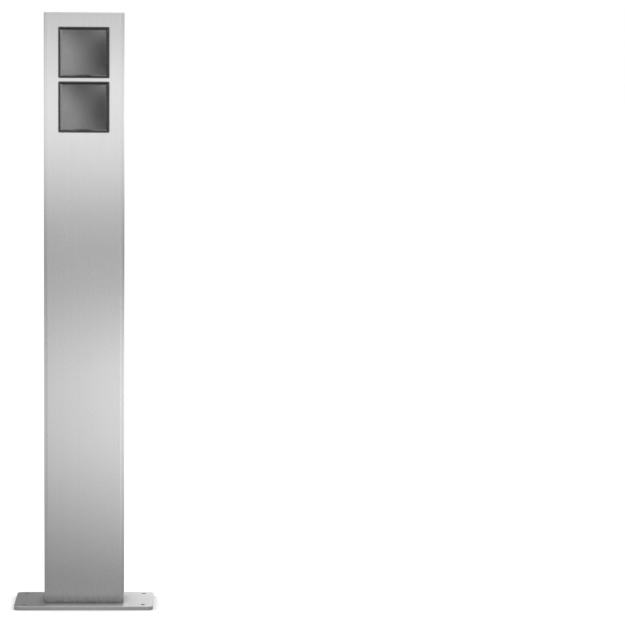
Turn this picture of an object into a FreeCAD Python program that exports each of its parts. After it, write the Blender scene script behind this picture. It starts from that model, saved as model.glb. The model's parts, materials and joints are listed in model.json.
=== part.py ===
import FreeCAD, Part
import math
import os

# A free-standing outdoor power column: a brushed stainless steel tube welded on a bolted base plate.
# Two earthed socket outlets sit behind sprung flaps near the top, and a terminal rail is reached
# through a screwed cover low on the back. Sizes are millimetres and angles are degrees.
# The origin is the middle of the base plate's underside, +Z is up, and the flaps face -Y.

Vec = FreeCAD.Vector

# Column, base plate and cap
overall_height = 900.0
column_width = 120.0
column_depth = 60.0
tube_wall = 3.0
tube_corner = 5.0
plate_width = 210.0
plate_depth = 120.0
plate_thickness = 6.0
plate_corner = 8.0
plate_edge_break = 0.5
bolt_spacing_x = 180.0
bolt_spacing_y = 90.0
bolt_hole = 7.0
weld_leg = 3.0
cap_thickness = 3.0
cap_edge_round = 0.6
cap_spigot_height = 8.0
cap_spigot_wall = 2.0
cap_spigot_gap = 0.3

# Bush that guards the supply cable where it comes up through the base plate
entry_bore = 32.0
bush_wall = 3.8
bush_flange_reach = 4.2
bush_flange_thickness = 2.0
bush_hole_gap = 0.2
bush_floor_gap = 0.4

# Cover over the wiring opening in the back
service_height = 160.0
service_opening_width = 70.0
service_opening_height = 130.0
service_opening_corner = 6.0
service_cover_lap = 15.0
service_cover_thickness = 2.0
service_cover_corner = 6.0
service_gasket_width = 6.0
service_gasket_thickness = 1.0
service_screw_inset = 5.5
service_screw_radius = 1.95
service_screw_length = 10.0
service_head_radius = 4.0
service_head_height = 2.0
screw_hole_gap = 0.25
rivet_nut_radius = 2.95
rivet_nut_length = 10.0
rivet_flange_radius = 4.5
rivet_flange_thickness = 0.8
thread_gap = 0.05

# Socket outlets: where they sit on the column
outlet_count = 2
outlet_top_margin = 21.5
outlet_pitch = 81.5

# Bezel: a moulded box let into the front wall, with a rim that laps over the steel
bezel_side = 76.5
bezel_corner = 2.0
bezel_rim_thickness = 1.0
bezel_rim_round = 0.4
rim_gasket_thickness = 0.4
bezel_body_side = 74.0
bezel_body_corner = 1.5
bezel_wall = 1.0
cutout_gap = 0.2
bezel_depth = 9.0
bezel_floor_thickness = 2.0
grip_notch_width = 18.0
grip_notch_depth = 0.5
bezel_screw_x = 28.0
bezel_screw_z = 24.0
bezel_screw_radius = 1.45
bezel_screw_length = 8.0
bezel_screw_head_radius = 2.8
bezel_screw_head_height = 2.0

# Flap: a hinged lid with a bevelled border round a shallow dished field
flap_side_gap = 0.5
flap_top_gap = 1.2
flap_recess = 0.5
flap_thickness = 4.5
flap_corner = 1.0
flap_edge_round = 0.3
flap_barrel_radius = 2.6
flap_brow_drop = 0.05
flap_brow_round = 0.5
flap_land = 0.4
flap_bevel_width = 2.0
flap_top_bevel_width = 0.8
flap_bevel_depth = 0.2
flap_dish_top = 0.15
flap_dish_middle = 2.2
flap_dish_bottom = 0.9
hinge_pin_radius = 1.0
hinge_pin_gap = 0.05
hinge_pin_seat_gap = 0.02
hinge_pin_end_gap = 0.1

# Torsion spring round the hinge pin, in a pocket at the middle of the flap's barrel
# Leg directions are degrees in the plane of depth and height, from straight back towards up
spring_wire_radius = 0.25
spring_turns = 3
spring_pitch = 0.66
spring_pin_gap = 0.15
spring_pocket_length = 10.0
spring_pocket_gap = 0.15
spring_leg_length = 5.0
spring_fixed_leg_angle = 11.5
spring_moving_leg_angle = -100.0
spring_leg_hole_gap = 0.1
spring_rest_width = 6.0
spring_rest_thickness = 1.0
spring_rest_reach = 1.8

# Soft ring on the bezel's floor that the closed flap comes down on
flap_seal_width = 2.0
flap_seal_side_gap = 2.0
flap_seal_top_gap = 6.0
flap_seal_gap = 0.3

# Socket face: the round well that takes the plug
well_radius = 19.6
well_depth = 17.5
well_wall = 3.6
well_floor_thickness = 3.0
face_flange_radius = 27.0
face_flange_thickness = 1.5
well_mouth_slant = 0.8
guide_rib_width = 5.0
guide_rib_height = 1.8
guide_rib_setback = 2.5
pin_spacing = 19.0
pin_hole_radius = 2.8
pin_hole_countersink = 0.8
face_screw_radius = 1.7
face_screw_head_radius = 3.2
face_screw_head_height = 2.0
face_screw_length = 13.0
face_gap = 0.4

# Shutter: a disc that closes the pin holes until two pins turn it together
shutter_radius = 15.0
shutter_thickness = 1.2
shutter_turn = 38.0
shutter_hole_radius = 3.1
shutter_ramp_height = 2.2
shutter_ramp_angle = 34.0
shutter_ramp_width = 5.6
shutter_gap = 0.3
boss_radius = 4.0
boss_running_gap = 0.08

# Socket base: the housing behind the face, with the live contacts
base_wall = 3.4
base_body_depth = 14.0
contact_gap = 4.2
contact_mouth = 6.4
contact_thickness = 0.8
contact_width = 6.4
contact_length = 11.4
contact_reach = 0.5
chamber_gap = 0.5
wire_hole_radius = 1.7
wire_hole_depth = 9.0
live_hole_x = 17.5
live_hole_z = 4.5
earth_hole_x = 4.4
earth_hole_z = 14.0

# Earth clip: a sprung strap that stands in the well above and below the pins
clip_width = 6.0
clip_thickness = 0.8
clip_wall_gap = 0.5
clip_slot_gap = 0.2
clip_bulge = 6.0
clip_tip_setback = 4.6

# Carrier: a hat section spot welded behind the front wall, which the bezels screw to
carrier_sheet = 1.5
carrier_web_width = 90.0
carrier_foot_width = 9.0
carrier_overlap = 8.0
carrier_hole_gap = 1.0

# Terminal rail and its blocks
rail_width = 35.0
rail_height = 7.5
rail_sheet = 1.0
rail_web = 27.0
rail_length = 90.0
stud_radius = 1.95
stud_length = 12.0
stud_spacing = 70.0
rail_nut_width = 7.0
rail_nut_height = 3.2
terminal_width = 8.2
terminal_height = 44.0
terminal_depth = 34.0
terminal_pitch = 8.5
terminal_clip_reach = 2.0
terminal_clip_gap = 0.1
terminal_screw_radius = 2.2
end_stop_width = 6.0
end_stop_height = 40.0
end_stop_depth = 12.0

# Earth bonding stud on the inside of the front wall
earth_stud_x = -38.0
earth_stud_drop = 62.0
earth_stud_radius = 2.95
earth_stud_length = 14.0
earth_nut_width = 10.0
earth_nut_height = 5.0
earth_washer_radius = 5.5
earth_washer_thickness = 1.0

# Values that follow from the sizes above
front = -column_depth / 2
back = column_depth / 2
front_inside = front + tube_wall
back_inside = back - tube_wall
tube_top = overall_height - cap_thickness
inner_width = column_width - 2 * tube_wall
inner_depth = column_depth - 2 * tube_wall
inner_corner = tube_corner - tube_wall

first_outlet = overall_height - outlet_top_margin - bezel_side / 2
outlet_heights = [first_outlet - i * outlet_pitch for i in range(outlet_count)]
outlet_names = ["upper", "lower"] + ["extra_%d" % (i + 1) for i in range(max(0, outlet_count - 2))]

# Depths below are measured from the column's front face, positive into the column
rim_back = -rim_gasket_thickness
rim_front = rim_back - bezel_rim_thickness
bezel_inner = bezel_body_side / 2 - bezel_wall
bezel_floor = bezel_depth - bezel_floor_thickness
cutout_side = bezel_body_side + 2 * cutout_gap
flap_front = rim_front + flap_recess
flap_rear = flap_front + flap_thickness
flap_half = bezel_inner - flap_side_gap
flap_top = bezel_inner - flap_top_gap
pivot_depth = flap_front + flap_barrel_radius
pivot_height = flap_top - flap_barrel_radius
spring_inner = hinge_pin_radius + spring_pin_gap
spring_mean = spring_inner + spring_wire_radius
spring_pocket_radius = spring_mean + spring_wire_radius + spring_pocket_gap
face_front = bezel_floor - face_flange_thickness
well_floor = face_front + well_depth
face_back = well_floor + well_floor_thickness
face_outer = well_radius + well_wall
base_bore = face_outer + face_gap
base_outer = base_bore + base_wall
shutter_front = face_back + shutter_gap + shutter_ramp_height
shutter_back = shutter_front + shutter_thickness
base_partition = shutter_back + shutter_gap
base_back = base_partition + base_body_depth
clip_outer = face_outer - clip_wall_gap - clip_slot_gap
carrier_web_front = bezel_depth


def block(x0, x1, y0, y1, z0, z1):
    """A box between two corners."""
    return Part.makeBox(x1 - x0, y1 - y0, z1 - z0, Vec(x0, y0, z0))


def rod(radius, start, end):
    """A round bar between two points."""
    return Part.makeCylinder(radius, (end - start).Length, start, end - start)


def cone(radius0, radius1, start, end):
    """A tapered round bar between two points."""
    return Part.makeCone(radius0, radius1, (end - start).Length, start, end - start)


def rod_y(radius, y0, y1, x=0.0, z=0.0):
    return rod(radius, Vec(x, y0, z), Vec(x, y1, z))


def rounded_outline(width, height, radius):
    """A closed outline in the XY plane, centred on the origin, with round corners."""
    a = width / 2
    b = height / 2
    short = radius * (1 - math.sqrt(0.5))
    edges = []
    for sx, sy in ((1, -1), (1, 1), (-1, 1), (-1, -1)):
        ends = [Vec(sx * (a - radius), sy * b, 0), Vec(sx * a, sy * (b - radius), 0)]
        if sx * sy > 0:
            ends.reverse()
        middle = Vec(sx * (a - short), sy * (b - short), 0)
        edges.append((ends[0], middle, ends[1]))
    parts = []
    for i, (start, middle, end) in enumerate(edges):
        parts.append(Part.Arc(start, middle, end).toShape())
        following = edges[(i + 1) % 4][0]
        parts.append(Part.LineSegment(end, following).toShape())
    return Part.Wire(parts)


def slab_z(width, depth, radius, z0, z1, x=0.0, y=0.0):
    """A plate with round corners that lies flat."""
    wire = rounded_outline(width, depth, radius)
    wire.translate(Vec(x, y, z0))
    return Part.Face(wire).extrude(Vec(0, 0, z1 - z0))


def slab_y(width, height, radius, y0, y1, x=0.0, z=0.0):
    """A plate with round corners that faces the front."""
    wire = rounded_outline(width, height, radius)
    wire.rotate(Vec(0, 0, 0), Vec(1, 0, 0), -90)
    wire.translate(Vec(x, y0, z))
    return Part.Face(wire).extrude(Vec(0, y1 - y0, 0))


def bar_x(points, x0, x1):
    """A straight bar along X whose section has the corners (y, z) given."""
    corners = [Vec(x0, y, z) for y, z in points]
    return Part.Face(Part.makePolygon(corners + corners[:1])).extrude(Vec(x1 - x0, 0, 0))


def bar_z(points, z0, z1):
    """A straight bar along Z whose section has the corners (x, y) given."""
    corners = [Vec(x, y, z0) for x, y in points]
    return Part.Face(Part.makePolygon(corners + corners[:1])).extrude(Vec(0, 0, z1 - z0))


def mirrored(points):
    """A half section's points (y, z) followed by the same points on the other side of z = 0."""
    return points + [(y, -z) for y, z in reversed(points)]


def hexagon_y(across_flats, y0, y1, x, z):
    """A hexagonal bar along Y."""
    radius = across_flats / math.sqrt(3)
    corners = []
    for i in range(7):
        angle = math.radians(60 * i)
        corners.append(Vec(x + radius * math.cos(angle), y0, z + radius * math.sin(angle)))
    return Part.Face(Part.makePolygon(corners)).extrude(Vec(0, y1 - y0, 0))


def edges_where(shape, test):
    """The shape's edges whose middle point passes the test."""
    found = []
    for edge in shape.Edges:
        middle = edge.valueAt((edge.FirstParameter + edge.LastParameter) / 2)
        if test(middle):
            found.append(edge)
    return found


def near(value, target):
    return abs(value - target) < 1e-6


def column_tube():
    tube = slab_z(column_width, column_depth, tube_corner, plate_thickness, tube_top)
    tube = tube.cut(slab_z(inner_width, inner_depth, inner_corner, plate_thickness - 1, tube_top + 1))
    for height in outlet_heights:
        corner = bezel_body_corner + cutout_gap
        tube = tube.cut(slab_y(cutout_side, cutout_side, corner, front - 1, front_inside + 1, 0, height))
    opening = slab_y(service_opening_width, service_opening_height, service_opening_corner,
                     back_inside - 1, back + 1, 0, service_height)
    tube = tube.cut(opening)
    for x, z in service_screw_places():
        tube = tube.cut(rod_y(rivet_nut_radius + thread_gap, back_inside - 1, back + 1, x, z))
    return tube


def top_cap():
    """The flat top, with a spigot that fits inside the tube."""
    plate = slab_z(column_width, column_depth, tube_corner, tube_top, overall_height)
    plate = plate.makeFillet(cap_edge_round, edges_where(plate, lambda p: near(p.z, overall_height)))
    width = inner_width - 2 * cap_spigot_gap
    depth = inner_depth - 2 * cap_spigot_gap
    bottom = tube_top - cap_spigot_height
    spigot = slab_z(width, depth, inner_corner, bottom, tube_top)
    hollow = slab_z(width - 2 * cap_spigot_wall, depth - 2 * cap_spigot_wall, inner_corner / 2,
                    bottom - 1, tube_top)
    return plate.fuse(spigot.cut(hollow)).removeSplitter()


def base_plate():
    plate = slab_z(plate_width, plate_depth, plate_corner, 0, plate_thickness)
    top_edges = edges_where(plate, lambda p: near(p.z, plate_thickness))
    plate = plate.makeChamfer(plate_edge_break, top_edges)
    for sx in (-1, 1):
        for sy in (-1, 1):
            place = Vec(sx * bolt_spacing_x / 2, sy * bolt_spacing_y / 2, -1)
            plate = plate.cut(rod(bolt_hole / 2, place, place + Vec(0, 0, plate_thickness + 2)))
    entry = entry_bore / 2 + bush_wall + bush_hole_gap
    return plate.cut(rod(entry, Vec(0, 0, -1), Vec(0, 0, plate_thickness + 1)))


def foot_weld():
    """A fillet weld inside the tube, all round its foot."""
    top = plate_thickness + weld_leg
    bead = slab_z(inner_width, inner_depth, inner_corner, plate_thickness, top)
    inset = 2 * weld_leg
    low = rounded_outline(inner_width - inset, inner_depth - inset, inner_corner)
    low.translate(Vec(0, 0, plate_thickness))
    high = rounded_outline(inner_width, inner_depth, inner_corner)
    high.translate(Vec(0, 0, top))
    return bead.cut(Part.makeLoft([low, high], True, True))


def cable_bush():
    sleeve = entry_bore / 2 + bush_wall
    top = plate_thickness + bush_flange_thickness
    bush = rod(sleeve, Vec(0, 0, bush_floor_gap), Vec(0, 0, top))
    flange = rod(sleeve + bush_flange_reach, Vec(0, 0, plate_thickness), Vec(0, 0, top))
    return bush.fuse(flange).cut(rod(entry_bore / 2, Vec(0, 0, 0), Vec(0, 0, top + 1))).removeSplitter()


def service_screw_places():
    x = service_opening_width / 2 + service_cover_lap - service_screw_inset
    z = service_opening_height / 2 + service_cover_lap - service_screw_inset
    return [(sx * x, service_height + sz * z) for sx in (-1, 1) for sz in (-1, 1)]


def service_cover():
    inside = back + service_gasket_thickness
    outside = inside + service_cover_thickness
    cover = slab_y(service_opening_width + 2 * service_cover_lap, service_opening_height + 2 * service_cover_lap,
                   service_cover_corner, inside, outside, 0, service_height)
    for x, z in service_screw_places():
        hole = service_screw_radius + screw_hole_gap
        cover = cover.cut(rod_y(hole, inside - 1, outside + 1, x, z))
        sink = cone(service_head_radius + screw_hole_gap, hole,
                    Vec(x, outside, z), Vec(x, outside - service_head_height, z))
        cover = cover.cut(sink)
    return cover


def service_gasket():
    inner_clear = 1.0
    width = service_opening_width + 2 * inner_clear
    height = service_opening_height + 2 * inner_clear
    outer_corner = service_opening_corner + service_gasket_width
    ring = slab_y(width + 2 * service_gasket_width, height + 2 * service_gasket_width, outer_corner,
                  back, back + service_gasket_thickness, 0, service_height)
    hole = slab_y(width, height, service_opening_corner, back - 1, back + 2 * service_gasket_thickness,
                  0, service_height)
    return ring.cut(hole)


def service_screws():
    """Countersunk machine screws, each with a crosswise driver slot."""
    outside = back + service_gasket_thickness + service_cover_thickness
    neck = outside - service_head_height
    screws = []
    for x, z in service_screw_places():
        head = cone(service_head_radius, service_screw_radius, Vec(x, outside, z), Vec(x, neck, z))
        shank = rod_y(service_screw_radius, outside - service_screw_length, neck, x, z)
        screw = head.fuse(shank)
        slot = service_head_radius * 0.55
        width = 0.5
        deep = outside - 1.0
        screw = screw.cut(block(x - slot, x + slot, deep, outside + 1, z - width, z + width))
        screw = screw.cut(block(x - width, x + width, deep, outside + 1, z - slot, z + slot))
        screws.append(screw.removeSplitter())
    return Part.makeCompound(screws)


def rivet_nuts():
    nuts = []
    for x, z in service_screw_places():
        nut = rod_y(rivet_nut_radius, back - rivet_nut_length, back, x, z)
        nut = nut.fuse(rod_y(rivet_flange_radius, back, back + rivet_flange_thickness, x, z))
        nuts.append(nut.cut(rod_y(service_screw_radius + thread_gap, 0, back + 2, x, z)).removeSplitter())
    return Part.makeCompound(nuts)


def socket_carrier():
    """Hat section behind the front wall, with a hole for each socket and tapped holes for its screws."""
    half_web = carrier_web_width / 2
    web_front = front + carrier_web_front
    web_back = web_front + carrier_sheet
    foot = half_web + carrier_foot_width
    bottom = outlet_heights[-1] - bezel_side / 2 - carrier_overlap
    top = outlet_heights[0] + bezel_side / 2 + carrier_overlap
    section = [(-foot, front_inside), (-half_web + carrier_sheet, front_inside),
               (-half_web + carrier_sheet, web_front), (half_web - carrier_sheet, web_front),
               (half_web - carrier_sheet, front_inside), (foot, front_inside),
               (foot, front_inside + carrier_sheet), (half_web, front_inside + carrier_sheet),
               (half_web, web_back), (-half_web, web_back),
               (-half_web, front_inside + carrier_sheet), (-foot, front_inside + carrier_sheet)]
    carrier = bar_z(section, bottom, top)
    for height in outlet_heights:
        hole = rod_y(base_outer + carrier_hole_gap, web_front - 1, web_back + 1, 0, height)
        carrier = carrier.cut(hole)
        for x, z in bezel_screw_places():
            tapped = rod_y(bezel_screw_radius + thread_gap, web_front - 1, web_back + 1, x, height + z)
            carrier = carrier.cut(tapped)
    return carrier


def bezel_screw_places():
    return [(sx * bezel_screw_x, sz * bezel_screw_z) for sx in (-1, 1) for sz in (-1, 1)]


def bezel():
    """The moulded box: rim, walls, floor with the socket's hole, and holes for the hinge pin."""
    rim = slab_y(bezel_side, bezel_side, bezel_corner, rim_front, rim_back)
    rim = rim.makeFillet(bezel_rim_round, edges_where(rim, lambda p: near(p.y, rim_front)))
    body = slab_y(bezel_body_side, bezel_body_side, bezel_body_corner, rim_back, bezel_depth)
    inner = 2 * bezel_inner
    shell = rim.fuse(body).cut(slab_y(inner, inner, bezel_wall / 2, rim_front - 1, bezel_floor))
    shell = shell.fuse(spring_rest())
    shell = shell.cut(rod_y(face_outer + face_gap / 2, bezel_floor - 1, bezel_depth + 1))
    for x, z in bezel_screw_places():
        shell = shell.cut(rod_y(bezel_screw_radius + screw_hole_gap, bezel_floor - 1, bezel_depth + 1, x, z))
    pin_hole = rod(hinge_pin_radius + hinge_pin_seat_gap, Vec(-bezel_side, pivot_depth, pivot_height),
                   Vec(bezel_side, pivot_depth, pivot_height))
    shell = shell.cut(pin_hole)
    half_notch = grip_notch_width / 2
    notch = block(-half_notch, half_notch, rim_front - 1, flap_rear,
                  -bezel_inner - grip_notch_depth, -bezel_inner + 1)
    return shell.cut(notch).removeSplitter()


def bezel_gasket():
    """The thin seal between the rim and the steel."""
    inset = 2 * bezel_rim_round
    ring = slab_y(bezel_side - inset, bezel_side - inset, bezel_corner, rim_back, 0)
    hole = bezel_body_side + 2 * cutout_gap
    return ring.cut(slab_y(hole, hole, bezel_body_corner + cutout_gap, rim_back - 1, 1))


def bezel_screws():
    """Pan-head screws from the bezel's floor into the carrier, each with a driver slot."""
    screws = []
    top = bezel_floor - bezel_screw_head_height
    for x, z in bezel_screw_places():
        head = rod_y(bezel_screw_head_radius, top, bezel_floor, x, z)
        head = head.makeChamfer(bezel_screw_head_height * 0.3, edges_where(head, lambda p: near(p.y, top)))
        screw = head.fuse(rod_y(bezel_screw_radius, bezel_floor, bezel_floor + bezel_screw_length, x, z))
        width = 0.4
        screw = screw.cut(block(x - bezel_side, x + bezel_side, top - 1, top + 1, z - width, z + width))
        screws.append(screw.removeSplitter())
    return Part.makeCompound(screws)


def curved_face(rows):
    """A face through rows of three control points each, smooth along the rows and across them."""
    degree = len(rows) - 1
    face = Part.BSplineSurface()
    face.buildFromPolesMultsKnots(rows, [degree + 1] * 2, [3, 3], [0.0, 1.0], [0.0, 1.0],
                                  False, False, degree, 2)
    return face.toShape()


def dished_pocket(x_half, z_low, z_high, y_mouth):
    """The hollow in the flap's front: four mitred bevels round a field that is dished, mostly from side to side."""
    floor = y_mouth + flap_bevel_depth
    inset_half = x_half - flap_bevel_width
    low, high = z_low + flap_bevel_width, z_high - flap_top_bevel_width
    mouth = [Vec(x, y_mouth, z) for x, z in ((-x_half, z_low), (x_half, z_low), (x_half, z_high), (-x_half, z_high))]
    rim = [Vec(x, floor, z) for x, z in ((-inset_half, low), (inset_half, low), (inset_half, high), (-inset_half, high))]
    faces = [Part.Face(Part.makePolygon(mouth + mouth[:1]))]
    for i in (1, 3):
        j = (i + 1) % 4
        faces.append(Part.Face(Part.makePolygon([mouth[i], mouth[j], rim[j], rim[i], mouth[i]])))
    lines = []
    for z, dip in ((low, flap_dish_bottom), ((low + high) / 2, flap_dish_middle), (high, flap_dish_top)):
        lines.append([Vec(-inset_half, floor, z), Vec(0, floor + 2 * dip, z), Vec(inset_half, floor, z)])
    faces.append(curved_face(lines))
    for z, line in ((z_low, lines[0]), (z_high, lines[2])):
        faces.append(curved_face([[Vec(-x_half, y_mouth, z), Vec(0, y_mouth, z), Vec(x_half, y_mouth, z)], line]))
    shell = Part.makeShell(faces)
    shell.sewShape()
    return Part.makeSolid(shell)


def flap_brow():
    """The squared front of the flap's top edge, which stands before the barrel."""
    top = flap_top - flap_brow_drop
    brow = block(-flap_half, flap_half, flap_front, pivot_depth, pivot_height, top)
    edge = edges_where(brow, lambda p: near(p.y, flap_front) and near(p.z, top))
    return brow.makeFillet(flap_brow_round, edge)


def flap():
    """The lid: a plate whose top edge is rolled round the hinge pin, open behind for the spring."""
    plate = slab_y(2 * flap_half, 2 * flap_half, flap_corner, flap_front, flap_rear)
    plate = plate.makeFillet(flap_edge_round, edges_where(plate, lambda p: near(p.y, flap_front)))
    keep = block(-flap_half, flap_half, flap_front, flap_rear, -flap_half, pivot_height)
    barrel = rod(flap_barrel_radius, Vec(-flap_half, pivot_depth, pivot_height),
                 Vec(flap_half, pivot_depth, pivot_height))
    lid = plate.common(keep).fuse(barrel).fuse(flap_brow())
    lid = lid.cut(rod(hinge_pin_radius + hinge_pin_gap, Vec(-bezel_side, pivot_depth, pivot_height),
                      Vec(bezel_side, pivot_depth, pivot_height)))
    edge = flap_half - flap_land
    brow_foot = flap_top - flap_brow_drop - flap_brow_round - flap_brow_drop
    lid = lid.cut(dished_pocket(edge, -edge, brow_foot, flap_front))
    half_pocket = spring_pocket_length / 2
    pocket = rod(spring_pocket_radius, Vec(-half_pocket, pivot_depth, pivot_height),
                 Vec(half_pocket, pivot_depth, pivot_height))
    behind = block(-half_pocket, half_pocket, pivot_depth, pivot_depth + 2 * flap_barrel_radius,
                   pivot_height - spring_pocket_radius, pivot_height + 2 * flap_barrel_radius)
    tip, knee = ends_of(spring_path()[0])
    leg_hole = rod(spring_wire_radius + spring_leg_hole_gap, tip, knee)
    return lid.cut(pocket.fuse(behind)).cut(leg_hole).removeSplitter()


def flap_pin():
    end = cutout_side / 2 - cutout_gap - hinge_pin_end_gap
    return rod(hinge_pin_radius, Vec(-end, pivot_depth, pivot_height), Vec(end, pivot_depth, pivot_height))


def line_edge(start, end):
    return Part.LineSegment(start, end).toShape()


def ends_of(edge):
    return edge.valueAt(edge.FirstParameter), edge.valueAt(edge.LastParameter)


def spring_path():
    """The edges along the middle of the spring's wire: the moving leg, the coil, and the fixed leg."""
    turned = 360 * spring_turns - (spring_moving_leg_angle - spring_fixed_leg_angle + 180)
    length = spring_pitch * turned / 360
    coil = Part.makeHelix(spring_pitch, length, spring_mean).Edges[0]
    start, end = ends_of(coil)
    inward = coil.tangentAt(coil.FirstParameter) * spring_leg_length
    outward = coil.tangentAt(coil.LastParameter) * spring_leg_length
    edges = [line_edge(start - inward, start), coil, line_edge(end, end + outward)]
    for edge in edges:
        edge.rotate(Vec(0, 0, 0), Vec(0, 0, 1), spring_moving_leg_angle + 90)
        edge.translate(Vec(0, 0, -length / 2))
        edge.rotate(Vec(0, 0, 0), Vec(1, 1, 1), 120)
        edge.translate(Vec(0, pivot_depth, pivot_height))
    return edges


def flap_spring():
    """A coil round the pin. One leg is held in the flap, and the other lies on the rest in the bezel."""
    edges = spring_path()
    start, knee = ends_of(edges[0])
    ring = Part.Wire([Part.Circle(start, knee - start, spring_wire_radius).toShape()])
    return Part.Wire(edges).makePipeShell([ring], True, False)


def spring_rest():
    """The ledge on the bezel's floor that the spring's fixed leg lies on."""
    start, end = ends_of(spring_path()[2])
    slope = (end.z - start.z) / (end.y - start.y)
    under = start.z - start.y * slope - 1.2 * spring_wire_radius * math.hypot(1, slope)
    tip = bezel_floor - spring_rest_reach
    root = bezel_floor + bezel_floor_thickness / 2
    low = under + tip * slope - spring_rest_thickness
    section = [(tip, low), (root, low), (root, under + root * slope), (tip, under + tip * slope)]
    return bar_x(section, -spring_rest_width / 2, spring_rest_width / 2)


def flap_seal():
    side = bezel_inner - flap_seal_side_gap
    top = bezel_inner - flap_seal_top_gap
    near_flap = flap_rear + flap_seal_gap
    height = top + side
    middle = (top - side) / 2
    ring = slab_y(2 * side, height, flap_corner + flap_seal_width, near_flap, bezel_floor, 0, middle)
    inner = slab_y(2 * (side - flap_seal_width), height - 2 * flap_seal_width, flap_corner,
                   near_flap - 1, bezel_floor + 1, 0, middle)
    return ring.cut(inner)


def socket_face():
    """The face with its well: guide ribs at the sides, pin holes, and channels for the earth clip."""
    flange = rod_y(face_flange_radius, face_front, bezel_floor)
    slant = face_flange_thickness * 0.5
    flange = flange.makeChamfer(slant, edges_where(flange, lambda p: near(p.y, face_front)))
    cup = rod_y(face_outer, bezel_floor, face_back)
    well = rod_y(well_radius, face_front - 1, well_floor)
    face = flange.fuse(cup).cut(well)
    mouth = edges_where(face, lambda p: near(p.y, face_front) and math.hypot(p.x, p.z) < well_radius + 0.01)
    face = face.makeChamfer(well_mouth_slant, mouth)
    half_rib = guide_rib_width / 2
    for side in (-1, 1):
        inner = side * (well_radius - guide_rib_height)
        outer = side * (well_radius + well_wall / 2)
        rib = block(min(inner, outer), max(inner, outer), face_front + guide_rib_setback, well_floor,
                    -half_rib, half_rib)
        face = face.fuse(rib)
    half_slot = clip_width / 2 + clip_slot_gap
    reach = clip_outer + clip_slot_gap
    slot_front = face_front + clip_tip_setback - 1
    for side in (-1, 1):
        inner = side * (well_radius - 1.2)
        outer = side * reach
        channel = block(-half_slot, half_slot, slot_front, face_back + 1, min(inner, outer), max(inner, outer))
        face = face.cut(channel)
    for side in (-1, 1):
        x = side * pin_spacing / 2
        hole = rod_y(pin_hole_radius, well_floor - 1, face_back + 1, x)
        sink = cone(pin_hole_radius + pin_hole_countersink, pin_hole_radius,
                    Vec(x, well_floor, 0), Vec(x, well_floor + pin_hole_countersink, 0))
        face = face.cut(hole).cut(sink)
    hole = face_screw_radius + screw_hole_gap
    sink = cone(face_screw_head_radius + screw_hole_gap, hole,
                Vec(0, well_floor, 0), Vec(0, well_floor + face_screw_head_height, 0))
    return face.cut(rod_y(hole, well_floor - 1, face_back + 1)).cut(sink).removeSplitter()


def face_screw():
    neck = well_floor + face_screw_head_height
    head = cone(face_screw_head_radius, face_screw_radius, Vec(0, well_floor, 0), Vec(0, neck, 0))
    screw = head.fuse(rod_y(face_screw_radius, neck, well_floor + face_screw_length))
    width = 0.4
    reach = face_screw_head_radius * 2
    return screw.cut(block(-reach, reach, well_floor - 1, well_floor + 1, -width, width)).removeSplitter()


def shutter():
    """The disc, turned so that it covers the pin holes, with a ramp below each of them."""
    disc = rod_y(shutter_radius, shutter_front, shutter_back)
    disc = disc.cut(rod_y(boss_radius + boss_running_gap, shutter_front - 1, shutter_back + 1))
    mid = pin_spacing / 2
    for side in (0, 180):
        turn = math.radians(side + shutter_turn)
        hole = rod_y(shutter_hole_radius, shutter_front - 1, shutter_back + 1,
                     mid * math.cos(turn), mid * math.sin(turn))
        disc = disc.cut(hole)
        disc = disc.fuse(shutter_ramp(side, mid))
    return disc.removeSplitter()


def shutter_ramp(side, mid):
    """A wedge that rises along an arc, so that a pin pressing on it turns the disc."""
    inner = mid - shutter_ramp_width / 2
    outer = mid + shutter_ramp_width / 2
    ring = rod_y(outer, shutter_front - shutter_ramp_height, shutter_front)
    ring = ring.cut(rod_y(inner, shutter_front - shutter_ramp_height - 1, shutter_front + 1))
    half = shutter_ramp_angle / 2
    low = math.radians(side - half)
    high = math.radians(side + half)
    far = 2 * outer
    base = [Vec(0, shutter_front, 0),
            Vec(far * math.cos(low), shutter_front, far * math.sin(low)),
            Vec(far * math.cos(high), shutter_front, far * math.sin(high))]
    peak = [base[0], base[1] + Vec(0, -shutter_ramp_height * far / mid, 0)]
    faces = [Part.Face(Part.makePolygon([base[0], base[1], base[2], base[0]])),
             Part.Face(Part.makePolygon([base[0], base[1], peak[1], base[0]])),
             Part.Face(Part.makePolygon([base[1], base[2], peak[1], base[1]])),
             Part.Face(Part.makePolygon([base[2], base[0], peak[1], base[2]]))]
    shell = Part.makeShell(faces)
    shell.sewShape()
    wedge = Part.makeSolid(shell)
    if wedge.Volume < 0:
        wedge.reverse()
    return ring.common(wedge)


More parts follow.
